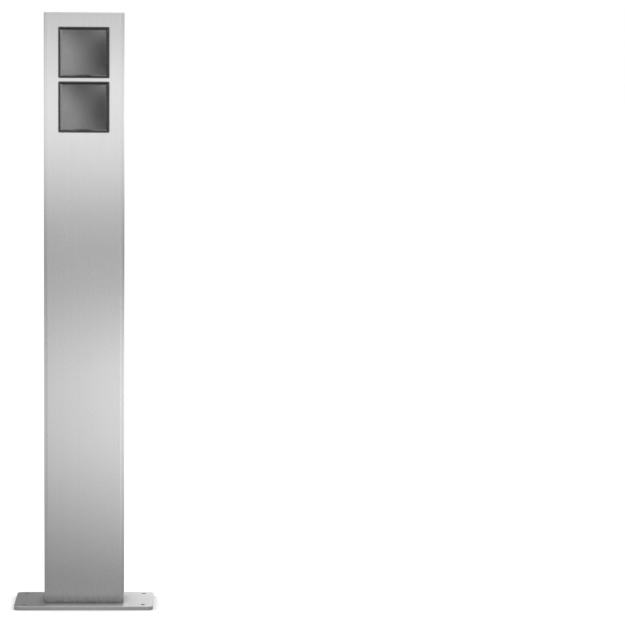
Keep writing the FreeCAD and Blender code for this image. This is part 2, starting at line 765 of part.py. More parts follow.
def socket_base():
    """The housing: a sleeve round the well, a boss for the shutter, chambers, strap slots and wire holes."""
    base = rod_y(base_outer, bezel_depth, base_back)
    base = base.cut(rod_y(base_bore, bezel_depth - 1, base_partition))
    base = base.fuse(rod_y(boss_radius, face_back, base_partition))
    base = base.cut(rod_y(face_screw_radius + thread_gap, face_back - 1, well_floor + face_screw_length + 1))
    chamber_back = base_partition + contact_length + chamber_gap
    half_width = contact_width / 2 + chamber_gap
    half_height = contact_mouth / 2 + contact_thickness + chamber_gap
    strip = strip_half_height() + thread_gap
    for side in (-1, 1):
        mid = side * pin_spacing / 2
        base = base.cut(block(mid - half_width, mid + half_width, base_partition - 1, chamber_back,
                              -half_height, half_height))
        inner = side * pin_spacing / 2
        outer = side * (live_hole_x + wire_hole_radius + chamber_gap)
        base = base.cut(block(min(inner, outer), max(inner, outer), chamber_back - contact_thickness - thread_gap,
                              chamber_back, -strip, strip))
    half_slot = clip_width / 2 + clip_slot_gap
    for side in (-1, 1):
        inner = side * (clip_outer - clip_thickness - clip_slot_gap)
        outer = side * (clip_outer + clip_slot_gap)
        slot = block(-half_slot, half_slot, base_partition - 1, base_back + 1,
                     min(inner, outer), max(inner, outer))
        base = base.cut(slot)
    groove = clip_outer + clip_slot_gap
    base = base.cut(block(-half_slot, half_slot, base_back - clip_thickness, base_back + 1, -groove, groove))
    for x, z in wire_hole_places():
        base = base.cut(rod_y(wire_hole_radius, base_back - wire_hole_depth, base_back + 1, x, z))
    return base.removeSplitter()


def strip_half_height():
    """Half the height of the contact's tail, whose edges stand in the two wire holes of its pole."""
    return live_hole_z - wire_hole_radius + contact_reach


def wire_hole_places():
    live = [(sx * live_hole_x, sz * live_hole_z) for sx in (-1, 1) for sz in (-1, 1)]
    return live + [(earth_hole_x, -earth_hole_z), (earth_hole_x, earth_hole_z)]


def contacts():
    """Two sprung forks, each with a waist that grips a pin and a tail out to its wire holes."""
    rear = base_partition + contact_length + chamber_gap
    tip = rear - contact_length
    waist = tip + contact_length * 0.3
    shoulder = rear - contact_length * 0.3
    t = contact_thickness
    mouth = contact_mouth / 2
    grip = contact_gap / 2
    half = [(rear, 0), (rear, mouth + t), (shoulder, mouth + t), (waist, grip + t), (tip, mouth + t),
            (tip, mouth), (waist, grip), (shoulder, mouth), (rear - t, mouth), (rear - t, 0)]
    upper = half[1:-1]
    section = upper + [(y, -z) for y, z in reversed(upper)]
    forks = []
    for side in (-1, 1):
        mid = side * pin_spacing / 2
        fork = bar_x(section, mid - contact_width / 2, mid + contact_width / 2)
        inner = mid
        outer = side * (live_hole_x + wire_hole_radius)
        strip = strip_half_height()
        tail = block(min(inner, outer), max(inner, outer), rear - t, rear, -strip, strip)
        forks.append(fork.fuse(tail).removeSplitter())
    return Part.makeCompound(forks)


def earth_clip():
    """A strap across the back of the base whose two arms come forward and bulge into the well."""
    t = clip_thickness
    tip = face_front + clip_tip_setback
    crest = tip + clip_bulge * 0.7
    knee = crest + clip_bulge
    high = clip_outer
    low = clip_outer - clip_bulge
    half = [(base_back, high), (knee, high), (crest, low + t), (tip, high - t / 2),
            (tip, high - 1.5 * t), (crest, low), (knee, high - t), (base_back - t, high - t)]
    return bar_x(mirrored(half), -clip_width / 2, clip_width / 2)


def rail_studs():
    studs = []
    for side in (-1, 1):
        studs.append(rod_y(stud_radius, front_inside, front_inside + stud_length,
                           side * stud_spacing / 2, service_height))
    return Part.makeCompound(studs)


def din_rail():
    """A top-hat rail that lies across the column against the inside of the front wall."""
    s = rail_sheet
    web = rail_web / 2
    edge = rail_width / 2
    top = front_inside + rail_height
    half = [(front_inside, web), (top - s, web), (top - s, edge), (top, edge), (top, web - s),
            (front_inside + s, web - s)]
    section = [(y, z + service_height) for y, z in mirrored(half)]
    rail = bar_x(section, -rail_length / 2, rail_length / 2)
    for side in (-1, 1):
        x = side * stud_spacing / 2
        rail = rail.cut(rod_y(stud_radius + screw_hole_gap, front_inside - 1, front_inside + s + 1,
                              x, service_height))
    return rail


def rail_nuts():
    nuts = []
    seat = front_inside + rail_sheet
    for side in (-1, 1):
        x = side * stud_spacing / 2
        nut = hexagon_y(rail_nut_width, seat, seat + rail_nut_height, x, service_height)
        nuts.append(nut.cut(rod_y(stud_radius + thread_gap, seat - 1, seat + stud_length, x, service_height)))
    return Part.makeCompound(nuts)


def rail_foot(height):
    """The half section (y, z) of anything that clips on the rail, up to half its height."""
    top = front_inside + rail_height
    under = top - rail_sheet - terminal_clip_gap
    edge = rail_width / 2 + terminal_clip_gap
    return [(top, edge - terminal_clip_reach), (top, edge), (under, edge), (under, edge - terminal_clip_reach),
            (under - terminal_clip_reach, edge), (under - terminal_clip_reach, height / 2),
            (top, height / 2)]


def clip_on_block(width, height, depth, x):
    """A moulded block on the rail, hooked behind both of its edges."""
    top = front_inside + rail_height
    body = bar_x([(top, -height / 2), (top, height / 2), (top + depth - 6, height / 2),
                  (top + depth, height / 2 - 8), (top + depth, 8 - height / 2), (top + depth - 6, -height / 2)],
                 x - width / 2, x + width / 2)
    hook = rail_foot(height)[2:]
    for side in (-1, 1):
        corners = [(y, side * z) for y, z in hook]
        body = body.fuse(bar_x(corners + [(top, side * hook[0][1])], x - width / 2, x + width / 2))
    body = body.removeSplitter()
    body.translate(Vec(0, 0, service_height))
    return body


def terminal(x):
    """A two-way terminal: wire holes at its ends and clamp screws sunk in its back."""
    piece = clip_on_block(terminal_width, terminal_height, terminal_depth, x)
    y = terminal_wire_depth()
    rear = front_inside + rail_height + terminal_depth
    for side in (-1, 1):
        end = service_height + side * terminal_height / 2
        inner = end - side * wire_hole_depth
        piece = piece.cut(rod(wire_hole_radius, Vec(x, y, inner), Vec(x, y, end + side)))
        clamp = service_height + side * (terminal_height / 2 - wire_hole_depth - terminal_screw_radius)
        piece = piece.cut(rod_y(terminal_screw_radius, rear - 4, rear + 1, x, clamp))
    return piece


def terminal_wire_depth():
    return front_inside + rail_height + terminal_depth * 0.55


def terminal_x(index):
    return (index - 1) * terminal_pitch


def end_stops():
    reach = 1.5 * terminal_pitch + end_stop_width / 2
    stops = [clip_on_block(end_stop_width, end_stop_height, end_stop_depth, side * reach) for side in (-1, 1)]
    return Part.makeCompound(stops)


def earth_stud_place():
    return Vec(earth_stud_x, front_inside, service_height - earth_stud_drop)


def earth_stud():
    place = earth_stud_place()
    return rod(earth_stud_radius, place, place + Vec(0, earth_stud_length, 0))


def earth_washer():
    place = earth_stud_place()
    washer = rod(earth_washer_radius, place, place + Vec(0, earth_washer_thickness, 0))
    return washer.cut(rod(earth_stud_radius + screw_hole_gap, place, place + Vec(0, earth_stud_length, 0)))


def earth_nut():
    place = earth_stud_place()
    seat = place.y + earth_washer_thickness
    nut = hexagon_y(earth_nut_width, seat, seat + earth_nut_height, place.x, place.z)
    return nut.cut(rod(earth_stud_radius + thread_gap, place, place + Vec(0, 2 * earth_stud_length, 0)))


def save(name, shape):
    """Writes one sub-part and prints what it measures."""
    solids = shape.Solids
    for solid in solids:
        if not solid.isValid() or solid.Volume <= 0:
            print("bad solid in", name, solid.Volume)
    shape.exportStep("parts/%s.step" % name)
    print("%-20s solids %d volume %.1f" % (name, len(solids), sum(s.Volume for s in solids)))


def main():
    os.makedirs("parts", exist_ok=True)
    frame = [column_tube, top_cap, base_plate, foot_weld, cable_bush, service_cover, service_gasket,
             service_screws, rivet_nuts, socket_carrier, rail_studs, din_rail, rail_nuts, end_stops,
             earth_stud, earth_washer, earth_nut]
    for make in frame:
        save(make.__name__, make())
    for index, pole in enumerate(("line", "neutral", "earth")):
        save("terminal_" + pole, terminal(terminal_x(index)))
    outlet = [bezel, bezel_gasket, bezel_screws, flap, flap_pin, flap_spring, flap_seal, socket_face,
              face_screw, shutter, socket_base, contacts, earth_clip]
    for make in outlet:
        for name, height in zip(outlet_names, outlet_heights):
            piece = make()
            piece.translate(Vec(0, front, height))
            save("%s_%s" % (make.__name__, name), piece)


main()
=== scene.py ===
import json
import math
import bpy
from mathutils import Matrix, Vector


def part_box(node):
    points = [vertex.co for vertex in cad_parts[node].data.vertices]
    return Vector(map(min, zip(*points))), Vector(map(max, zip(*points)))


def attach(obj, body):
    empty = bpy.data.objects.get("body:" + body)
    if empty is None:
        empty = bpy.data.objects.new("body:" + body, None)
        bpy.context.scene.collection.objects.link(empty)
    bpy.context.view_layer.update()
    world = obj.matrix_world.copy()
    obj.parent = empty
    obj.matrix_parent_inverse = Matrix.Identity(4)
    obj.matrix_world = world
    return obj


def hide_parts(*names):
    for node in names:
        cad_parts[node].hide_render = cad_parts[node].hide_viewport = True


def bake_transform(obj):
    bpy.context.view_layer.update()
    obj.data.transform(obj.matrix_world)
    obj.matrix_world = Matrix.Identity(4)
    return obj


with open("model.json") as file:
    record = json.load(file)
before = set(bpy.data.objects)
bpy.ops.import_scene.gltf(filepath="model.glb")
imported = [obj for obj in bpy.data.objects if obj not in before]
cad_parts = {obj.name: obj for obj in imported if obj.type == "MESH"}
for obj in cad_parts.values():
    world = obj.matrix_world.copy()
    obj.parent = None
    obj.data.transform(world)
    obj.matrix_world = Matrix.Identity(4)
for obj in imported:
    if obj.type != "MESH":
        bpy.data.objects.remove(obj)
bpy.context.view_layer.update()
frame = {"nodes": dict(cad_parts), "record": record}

# The finish of an outdoor power column: a brushed steel tube on a bolted plate, with two socket
# outlets behind sprung flaps. Lengths are metres, angles are degrees, and the flaps face -Y.

nodes = frame["nodes"]
outlets = [name[len("flap_pin_"):] for name in nodes if name.startswith("flap_pin_")]

# Camera, fitted to the outline of the column, its plate and its flaps
frame_pixels = 625
focal_pixels = 3041.4
sensor_width = 36.0
camera_place = Vector((0.1498, -4.6063, 0.88))
camera_yaw = 2.443
camera_pitch = -5.355
camera_roll = 0.40
camera_far = 200.0

# Flap spring, as wound round the hinge pin. Its wire ends in domes, whose rise and width are shares of the
# wire's radius, and the points of a leg lie at shares of its length from the coil.
wire_radius = 0.00025
wire_sides = 12
wire_end_rise = 0.4
wire_end_width = 0.6
spring_turns = 3
spring_pitch = 0.00066
spring_mean_radius = 0.0014
spring_leg = 0.005
leg_shares = (0.25, 0.5, 0.75, 1.0)
fixed_leg_angle = 11.5
moving_leg_angle = -100.0
spring_step = 12.0

# Soft parts: the ring that each flap closes on, the gaskets and the cable bush. The bulb of the ring is a
# share of the ring's width deep, and its shoulders and crown stand in from the sides by shares of that width.
seal_width = 0.002
seal_foot = 0.0009
seal_neck = 0.0010
seal_corner = 0.003
seal_round = 0.0005
bulb_share = 0.5
bulb_shoulder = 0.04
bulb_crown = 0.20
rim_gasket_width = 0.00065
rim_gasket_corner = 0.002
cover_gasket_width = 0.006
cover_gasket_corner = 0.012
gasket_round = 0.00018
bush_bore = 0.016
bush_sleeve = 0.0198
bush_flange_thickness = 0.002
bush_ribs = 3
bush_rib_depth = 0.0004
bush_round = 0.0007
bush_steps = 16

# Steps round a ring's corner and round a section's corner, and the most of a side that such a corner takes
ring_steps = 6
round_steps = 4
round_share = 0.45

# Light: the even fill, the key and rim lamps, and the white floor
fill_strength = 0.62
key_power = 12.0
key_size = 0.9
key_place = Vector((0.95, -0.75, 1.55))
rim_power = 5.0
rim_size = 0.6
rim_place = Vector((-1.0, 0.35, 1.2))
aim_point = Vector((0.0, 0.0, 0.5))
floor_half = 30.0
floor_glow = 0.80
floor_share = 0.36
floor_colour = 0.8

# The painted contact shadow on the floor by the plate: how far it reaches, how closed in it is there, and
# what is left
contact_reach = 0.06
contact_dark = 0.78
contact_left = 0.74
contact_samples = 16

# The lamps that give each flap its sheen: place from the middle of the flap, width, height and power
sheen_lamps = [
    (Vector((0.044, -1.25, 0.080)), 0.31, 0.39, 1.40), (Vector((0.088, -1.25, 0.085)), 0.22, 0.39, 0.98),
    (Vector((0.137, -1.25, 0.090)), 0.12, 0.39, 0.66), (Vector((0.09, -1.03, 0.62)), 0.34, 0.83, 4.5),
]

# The light tent's profile from the foot of the column outwards and up: radius, height, tone
tent_steps = 180
tent_profile = [
    (0.060, 0.0003, 0.44), (0.13, 0.0003, 0.34), (0.30, 0.001, 0.34), (0.55, 0.002, 0.44),
    (0.90, 0.002, 0.56), (1.25, 0.002, 0.74), (1.40, 0.020, 0.88), (1.40, 0.120, 1.05),
    (1.40, 0.220, 1.05), (1.40, 0.300, 0.82), (1.40, 0.350, 0.58), (1.40, 0.420, 0.33),
    (1.40, 0.500, 0.48), (1.40, 0.600, 0.94), (1.40, 0.700, 1.32), (1.40, 0.780, 1.20),
    (1.40, 0.880, 0.79), (1.40, 0.980, 0.60), (1.40, 1.300, 0.66), (1.10, 1.900, 0.78),
    (0.40, 2.300, 0.85),
]

# How the tent's tone changes round the object: angle from the front, share high up, share low down.
# Low down ends and high up starts at the heights below, and the change is whole from the reach outwards.
tent_sides = [
    (-180, 0.70, 0.64), (-177, 0.30, 0.24), (-150, 0.30, 0.20), (-130, 0.75, 0.55), (-90, 0.85, 0.70),
    (-60, 0.92, 0.80), (-38, 0.88, 0.64), (-20, 0.85, 0.47), (-8, 0.94, 0.55), (0, 1.08, 1.04),
    (8, 1.02, 1.40), (20, 0.91, 1.20), (38, 0.92, 1.05), (60, 0.92, 1.00), (90, 0.85, 0.92),
    (130, 0.92, 0.90), (160, 0.98, 0.92), (171, 1.08, 1.52), (178, 1.10, 1.62), (180, 0.70, 0.64),
]
tent_low = 0.30
tent_high = 0.50
tent_reach = 1.0
tent_growth = 1.5


# Helpers for shader trees

def add(tree, kind, inputs=None, **settings):
    """Adds one shader node, and sets or links its inputs."""
    node = tree.nodes.new("ShaderNode" + kind)
    for name, value in settings.items():
        setattr(node, name, value)
    for name, value in (inputs or {}).items():
        if isinstance(value, bpy.types.NodeSocket):
            tree.links.new(value, node.inputs[name])
        else:
            node.inputs[name].default_value = value
    return node


def calc(tree, operation, first, second=0.0, clamp=False):
    """The result of a sum on two values."""
    return add(tree, "Math", {0: first, 1: second}, operation=operation, use_clamp=clamp).outputs[0]


def spread(tree, value, low, high, to_low, to_high):
    """Maps a value from one range to another, held inside the second."""
    node = add(tree, "MapRange", {"Value": value, "From Min": low, "From Max": high,
                                  "To Min": to_low, "To Max": to_high})
    return node.outputs["Result"]


def blend(tree, share, first, second):
    """A colour between two colours."""
    node = add(tree, "Mix", {0: share, 6: first, 7: second}, data_type="RGBA")
    return node.outputs[2]


def grey(value):
    """A neutral colour of one value."""
    return (value, value, value, 1.0)


def new_group(name, inputs, outputs):
    """An empty shader group with named sockets, each given its kind and first value."""
    group = bpy.data.node_groups.new(name, "ShaderNodeTree")
    for label, (kind, value) in inputs.items():
        socket = group.interface.new_socket(label, in_out="INPUT", socket_type="NodeSocket" + kind)
        socket.default_value = value
    for label, kind in outputs.items():
        group.interface.new_socket(label, in_out="OUTPUT", socket_type="NodeSocket" + kind)
    return group, group.nodes.new("NodeGroupInput").outputs, group.nodes.new("NodeGroupOutput").inputs


def placed(tree, group, **values):
    """Places a group in a tree with its own values, and returns its outputs."""
    node = tree.nodes.new("ShaderNodeGroup")
    node.node_tree = group
    for label, value in values.items():
        node.inputs[label].default_value = value
    return node.outputs


# Effects that several finishes share

edge_samples = 6
corner_samples = 12


def grain_group():
    """Lines drawn out one way: fine scratches, and the broader streaks among them."""
    group, given, result = new_group(
        "grain", {"Stretch": ("Vector", (1.0, 1.0, 1.0)), "Streak": ("Float", 0.1)},
        {"Lines": "Float", "Streaks": "Float"})
    place = add(group, "TexCoord").outputs["Object"]
    fine = add(group, "VectorMath", {0: place, 1: given["Stretch"]}, operation="MULTIPLY").outputs[0]
    broad = add(group, "VectorMath", {0: fine, "Scale": given["Streak"]}, operation="SCALE").outputs[0]
    lines = add(group, "TexNoise", {"Vector": fine, "Scale": 1.0, "Detail": 3.0, "Roughness": 0.62})
    streaks = add(group, "TexNoise", {"Vector": broad, "Scale": 1.0, "Detail": 4.0, "Roughness": 0.55})
    group.links.new(lines.outputs[0], result["Lines"])
    group.links.new(spread(group, streaks.outputs[0], 0.3, 0.7, 0.0, 1.0), result["Streaks"])
    return group


def patch_group():
    """Soft cloudy patches of handling, weather and cooling, from none to full."""
    group, given, result = new_group(
        "patches", {"Scale": ("Float", 20.0), "Detail": ("Float", 4.0)}, {"Patch": "Float", "Fleck": "Float"})
    place = add(group, "TexCoord").outputs["Object"]
    soft = add(group, "TexNoise", {"Vector": place, "Scale": given["Scale"], "Detail": given["Detail"],
                                   "Roughness": 0.6, "Distortion": 0.4})
    many = calc(group, "MULTIPLY", given["Scale"], 14.0)
    fleck = add(group, "TexNoise", {"Vector": place, "Scale": many, "Detail": 2.0, "Roughness": 0.7})
    group.links.new(spread(group, soft.outputs[0], 0.32, 0.68, 0.0, 1.0), result["Patch"])
    group.links.new(spread(group, fleck.outputs[0], 0.58, 0.72, 0.0, 1.0), result["Fleck"])
    return group


def edge_group():
    """Wear along the edges, broken up as it is by use, and the edges' own small rounding."""
    group, given, result = new_group(
        "edge_wear", {"Radius": ("Float", 0.0004), "Breakup": ("Float", 600.0), "Gain": ("Float", 4.0)},
        {"Worn": "Float", "Rounded": "Vector"})
    place = add(group, "TexCoord").outputs["Object"]
    bevel = add(group, "Bevel", {"Radius": given["Radius"]}, samples=edge_samples).outputs[0]
    flat = add(group, "NewGeometry").outputs["Normal"]
    along = add(group, "VectorMath", {0: bevel, 1: flat}, operation="DOT_PRODUCT").outputs["Value"]
    turned = calc(group, "SUBTRACT", 1.0, along)
    strong = calc(group, "MULTIPLY", turned, given["Gain"])
    rough = add(group, "TexNoise", {"Vector": place, "Scale": given["Breakup"], "Detail": 3.0})
    broken = spread(group, rough.outputs[0], 0.38, 0.62, 0.25, 1.0)
    group.links.new(calc(group, "MULTIPLY", strong, broken, clamp=True), result["Worn"])
    group.links.new(bevel, result["Rounded"])
    return group


def texture_group():
    """The fine sparked texture that a mould leaves on plastic, as a height."""
    group, given, result = new_group("mould_texture", {"Scale": ("Float", 3000.0)}, {"Height": "Float"})
    place = add(group, "TexCoord").outputs["Object"]
    cells = add(group, "TexVoronoi", {"Vector": place, "Scale": given["Scale"], "Smoothness": 0.6},
                feature="SMOOTH_F1")
    half = calc(group, "MULTIPLY", given["Scale"], 0.45)
    waves = add(group, "TexNoise", {"Vector": place, "Scale": half, "Detail": 2.0})
    group.links.new(calc(group, "ADD", cells.outputs["Distance"], waves.outputs[0]), result["Height"])
    return group


def dust_group():
    """A film of dust on what faces up, patchy and heavier towards the ground."""
    group, given, result = new_group(
        "dust", {"Scale": ("Float", 60.0), "Amount": ("Float", 0.2)}, {"Dust": "Float"})
    place = add(group, "TexCoord").outputs["Object"]
    normal = add(group, "NewGeometry").outputs["Normal"]
    up = add(group, "SeparateXYZ", {0: normal}).outputs["Z"]
    facing = spread(group, up, 0.2, 0.95, 0.12, 1.0)
    height = add(group, "SeparateXYZ", {0: place}).outputs["Z"]
    low = spread(group, height, 0.0, 0.25, 1.0, 0.55)
    film = add(group, "TexNoise", {"Vector": place, "Scale": given["Scale"], "Detail": 6.0, "Roughness": 0.7})
    patchy = spread(group, film.outputs[0], 0.35, 0.75, 0.0, 1.0)
    share = calc(group, "MULTIPLY", calc(group, "MULTIPLY", facing, low), patchy)
    group.links.new(calc(group, "MULTIPLY", share, given["Amount"], clamp=True), result["Dust"])
    return group


def corner_group():
    """Shade painted into the colour where two surfaces meet, with some dirt, most of all by the ground."""
    group, given, result = new_group(
        "corner_dirt", {"Reach": ("Float", 0.01), "Scale": ("Float", 300.0)}, {"Dirt": "Float"})
    place = add(group, "TexCoord").outputs["Object"]
    near = add(group, "AmbientOcclusion", {"Distance": given["Reach"]}, samples=corner_samples)
    deep = spread(group, near.outputs["AO"], 0.58, 0.96, 1.0, 0.0)
    uneven = add(group, "TexNoise", {"Vector": place, "Scale": given["Scale"], "Detail": 3.0})
    patchy = spread(group, uneven.outputs[0], 0.3, 0.7, 0.75, 1.0)
    height = add(group, "SeparateXYZ", {0: place}).outputs["Z"]
    low = spread(group, height, 0.02, 0.12, 1.0, 0.15)
    share = calc(group, "MULTIPLY", deep, calc(group, "MULTIPLY", patchy, low), clamp=True)
    group.links.new(share, result["Dirt"])
    return group


grain, patches, edges = grain_group(), patch_group(), edge_group()
mould_texture, dust, corner_shades = texture_group(), dust_group(), corner_group()
dust_colour = (0.42, 0.39, 0.34, 1.0)
# The colour of the painted shade, with some dirt, in corners and at the column's foot
painted_shade_colour = grey(0.13)
scratch_colour = grey(0.86)
bright_edge = grey(0.90)


# Finishes

def new_material(name, **constants):
    """A material with a Principled shader, whose even values are set on its own sockets."""
    material = bpy.data.materials.new(name)
    material.use_nodes = True
    shader = material.node_tree.nodes["Principled BSDF"]
    for label, value in constants.items():
        shader.inputs[label.replace("_", " ")].default_value = value
    return material, material.node_tree, shader


def join(tree, shader, colour, roughness, normal):
    """Links what changes over a surface to its shader."""
    tree.links.new(colour, shader.inputs["Base Color"])
    tree.links.new(roughness, shader.inputs["Roughness"])
    tree.links.new(normal, shader.inputs["Normal"])


def bumped(tree, height, depth, strength, normal):
    """A normal raised by a height whose depth is in metres."""
    inputs = {"Height": height, "Distance": depth, "Strength": strength, "Normal": normal}
    return add(tree, "Bump", inputs).outputs[0]


def brushed_steel(name, stretch, anisotropy, dark, light, smooth, rough, cloud, reach, shade_amount):
    """Stainless steel brushed one way: close-set lines, broader streaks, faint handling, bright edges and
    painted shade in corners.

    The last two arguments are how far the painted shade in corners, with some dirt, reaches, and how much of
    it shows.
    """
    scratch_share, edge_share = 0.05, 0.6
    patch_roughness, dust_roughness = 0.025, 0.5
    line_depth, line_strength = 0.000006, 0.05
    material, tree, shader = new_material(name, Metallic=1.0, Anisotropic=anisotropy)
    drawn = placed(tree, grain, Stretch=stretch, Streak=0.11)
    cloudy = placed(tree, patches, Scale=cloud, Detail=3.0)
    edge = placed(tree, edges, Radius=0.0005, Breakup=900.0, Gain=2.2)
    film = placed(tree, dust, Scale=45.0, Amount=0.10)
    # Painted shade, with some dirt, where the tube meets the plate and in other corners
    corner = placed(tree, corner_shades, Reach=reach, Scale=260.0)
    colour = blend(tree, drawn["Streaks"], dark, light)
    scratched = spread(tree, drawn["Lines"], 0.62, 0.80, 0.0, scratch_share)
    colour = blend(tree, scratched, colour, scratch_colour)
    colour = blend(tree, calc(tree, "MULTIPLY", edge["Worn"], edge_share), colour, bright_edge)
    colour = blend(tree, film["Dust"], colour, dust_colour)
    colour = blend(tree, calc(tree, "MULTIPLY", corner["Dirt"], shade_amount), colour, painted_shade_colour)
    roughness = spread(tree, drawn["Lines"], 0.30, 0.70, smooth, rough)
    roughness = calc(tree, "ADD", roughness, calc(tree, "MULTIPLY", cloudy["Patch"], patch_roughness))
    roughness = calc(tree, "ADD", roughness, calc(tree, "MULTIPLY", film["Dust"], dust_roughness))
    lines = bumped(tree, drawn["Lines"], line_depth, line_strength, edge["Rounded"])
    join(tree, shader, colour, roughness, lines)
    return material


def zinc_plating(name):
    """Bright zinc over pressed steel, slightly cloudy, with grey rubbed edges."""
    dull, bright = (0.50, 0.52, 0.56, 1), (0.66, 0.67, 0.68, 1)
    stained, rubbed = (0.72, 0.70, 0.62, 1), grey(0.42)
    stain_share = 0.4
    material, tree, shader = new_material(name, Metallic=1.0)
    cloudy = placed(tree, patches, Scale=110.0, Detail=5.0)
    edge = placed(tree, edges, Radius=0.0002, Breakup=2500.0, Gain=2.5)
    drawn = placed(tree, grain, Stretch=(900.0, 900.0, 900.0), Streak=0.2)
    colour = blend(tree, cloudy["Patch"], dull, bright)
    colour = blend(tree, calc(tree, "MULTIPLY", cloudy["Fleck"], stain_share), colour, stained)
    colour = blend(tree, edge["Worn"], colour, rubbed)
    roughness = spread(tree, cloudy["Patch"], 0.0, 1.0, 0.42, 0.28)
    lines = bumped(tree, drawn["Lines"], depth=0.00002, strength=0.3, normal=edge["Rounded"])
    join(tree, shader, colour, roughness, lines)
    return material


def weld_bead(name):
    """A rippled weld with its heat colours, straw to blue."""
    straw, blue, rubbed = (0.42, 0.33, 0.22, 1), (0.24, 0.27, 0.36, 1), grey(0.55)
    material, tree, shader = new_material(name, Metallic=1.0)
    cloudy = placed(tree, patches, Scale=240.0, Detail=4.0)
    place = add(tree, "TexCoord").outputs["Object"]
    ripple = add(tree, "TexWave", {"Vector": place, "Scale": 260.0, "Distortion": 2.5, "Detail": 2.0},
                 wave_type="RINGS", rings_direction="Z")
    edge = placed(tree, edges, Radius=0.0003, Breakup=1500.0, Gain=2.0)
    colour = blend(tree, cloudy["Patch"], straw, blue)
    colour = blend(tree, edge["Worn"], colour, rubbed)
    roughness = spread(tree, cloudy["Fleck"], 0.0, 1.0, 0.32, 0.55)
    ripples = bumped(tree, ripple.outputs["Fac"], depth=0.0002, strength=0.7, normal=edge["Rounded"])
    join(tree, shader, colour, roughness, ripples)
    return material


def drawn_wire(name):
    """Hard drawn spring steel: bright, with die lines and darker oiled patches."""
    dull, bright, rubbed = (0.46, 0.46, 0.47, 1), grey(0.66), grey(0.78)
    oiled = (0.30, 0.27, 0.22, 1)
    oil_share = 0.5
    material, tree, shader = new_material(name, Metallic=1.0)
    drawn = placed(tree, grain, Stretch=(300.0, 9000.0, 9000.0), Streak=0.2)
    cloudy = placed(tree, patches, Scale=400.0, Detail=3.0)
    edge = placed(tree, edges, Radius=0.0001, Breakup=5000.0, Gain=2.0)
    colour = blend(tree, drawn["Streaks"], dull, bright)
    colour = blend(tree, calc(tree, "MULTIPLY", cloudy["Fleck"], oil_share), colour, oiled)
    colour = blend(tree, edge["Worn"], colour, rubbed)
    roughness = spread(tree, drawn["Lines"], 0.3, 0.7, 0.18, 0.34)
    lines = bumped(tree, drawn["Lines"], depth=0.00001, strength=0.4, normal=edge["Rounded"])
    join(tree, shader, colour, roughness, lines)
    return material


def contact_brass(name):
    """Nickel-plated brass strip, plating thin and yellow where it was bent and cut."""
    dull, bright, bare = (0.66, 0.60, 0.48, 1), (0.74, 0.70, 0.62, 1), (0.72, 0.52, 0.20, 1)
    material, tree, shader = new_material(name, Metallic=1.0)
    drawn = placed(tree, grain, Stretch=(5000.0, 200.0, 5000.0), Streak=0.15)
    cloudy = placed(tree, patches, Scale=180.0, Detail=4.0)
    edge = placed(tree, edges, Radius=0.0002, Breakup=2500.0, Gain=3.5)
    colour = blend(tree, cloudy["Patch"], dull, bright)
    colour = blend(tree, edge["Worn"], colour, bare)
    roughness = spread(tree, drawn["Streaks"], 0.0, 1.0, 0.22, 0.36)
    lines = bumped(tree, drawn["Lines"], depth=0.00001, strength=0.3, normal=edge["Rounded"])
    join(tree, shader, colour, roughness, lines)
    return material


def moulding(name, deep, pale, worn, smooth, rough, texture, relief, dusty, **constants):
    """Moulded plastic or rubber: a sparked texture, slow changes of tone, rubbed edges and some dust.

    Texture and relief are how fine the mould's texture is, and how deep.
    """
    fleck_share, edge_share, dust_roughness, texture_strength = 0.12, 0.7, 0.3, 0.5
    material, tree, shader = new_material(name, **constants)
    cloudy = placed(tree, patches, Scale=38.0, Detail=4.0)
    edge = placed(tree, edges, Radius=0.0003, Breakup=1400.0, Gain=2.6)
    sparked = placed(tree, mould_texture, Scale=texture)
    film = placed(tree, dust, Scale=180.0, Amount=dusty)
    colour = blend(tree, cloudy["Patch"], deep, pale)
    colour = blend(tree, calc(tree, "MULTIPLY", cloudy["Fleck"], fleck_share), colour, worn)
    colour = blend(tree, calc(tree, "MULTIPLY", edge["Worn"], edge_share), colour, worn)
    colour = blend(tree, film["Dust"], colour, dust_colour)
    roughness = spread(tree, cloudy["Patch"], 0.0, 1.0, smooth, rough)
    roughness = calc(tree, "ADD", roughness, calc(tree, "MULTIPLY", film["Dust"], dust_roughness))
    sparks = bumped(tree, sparked["Height"], relief, texture_strength, edge["Rounded"])
    join(tree, shader, colour, roughness, sparks)
    return material


def anthracite_plastic(name):
    """The flaps and the socket faces, from a fine mould."""
    return moulding(
        name, deep=(0.016, 0.0165, 0.018, 1), pale=(0.022, 0.0225, 0.0245, 1), worn=grey(0.10),
        smooth=0.16, rough=0.20, texture=2600.0, relief=0.000006, dusty=0.05, Specular_IOR_Level=0.36)


def matt_anthracite(name):
    """The flap's frame, of the same plastic from a coarser mould."""
    return moulding(
        name, deep=(0.052, 0.053, 0.056, 1), pale=(0.066, 0.067, 0.070, 1), worn=grey(0.13),
        smooth=0.40, rough=0.48, texture=2200.0, relief=0.000012, dusty=0.05, Specular_IOR_Level=0.36)


def black_plastic(name):
    """The socket housings and the shutters."""
    return moulding(
        name, deep=(0.018, 0.018, 0.019, 1), pale=(0.030, 0.030, 0.032, 1), worn=grey(0.09),
        smooth=0.42, rough=0.52, texture=2200.0, relief=0.00002, dusty=0.10)


def black_rubber(name):
    """The seals, the gaskets and the cable bush."""
    return moulding(
        name, deep=(0.012, 0.012, 0.012, 1), pale=(0.024, 0.023, 0.022, 1), worn=grey(0.06),
        smooth=0.62, rough=0.78, texture=1500.0, relief=0.00003, dusty=0.16)


def grey_plastic(name):
    """The line terminal and the end stops of the rail."""
    return moulding(
        name, deep=(0.30, 0.31, 0.32, 1), pale=(0.36, 0.37, 0.38, 1), worn=grey(0.50),
        smooth=0.44, rough=0.54, texture=2000.0, relief=0.00002, dusty=0.12)


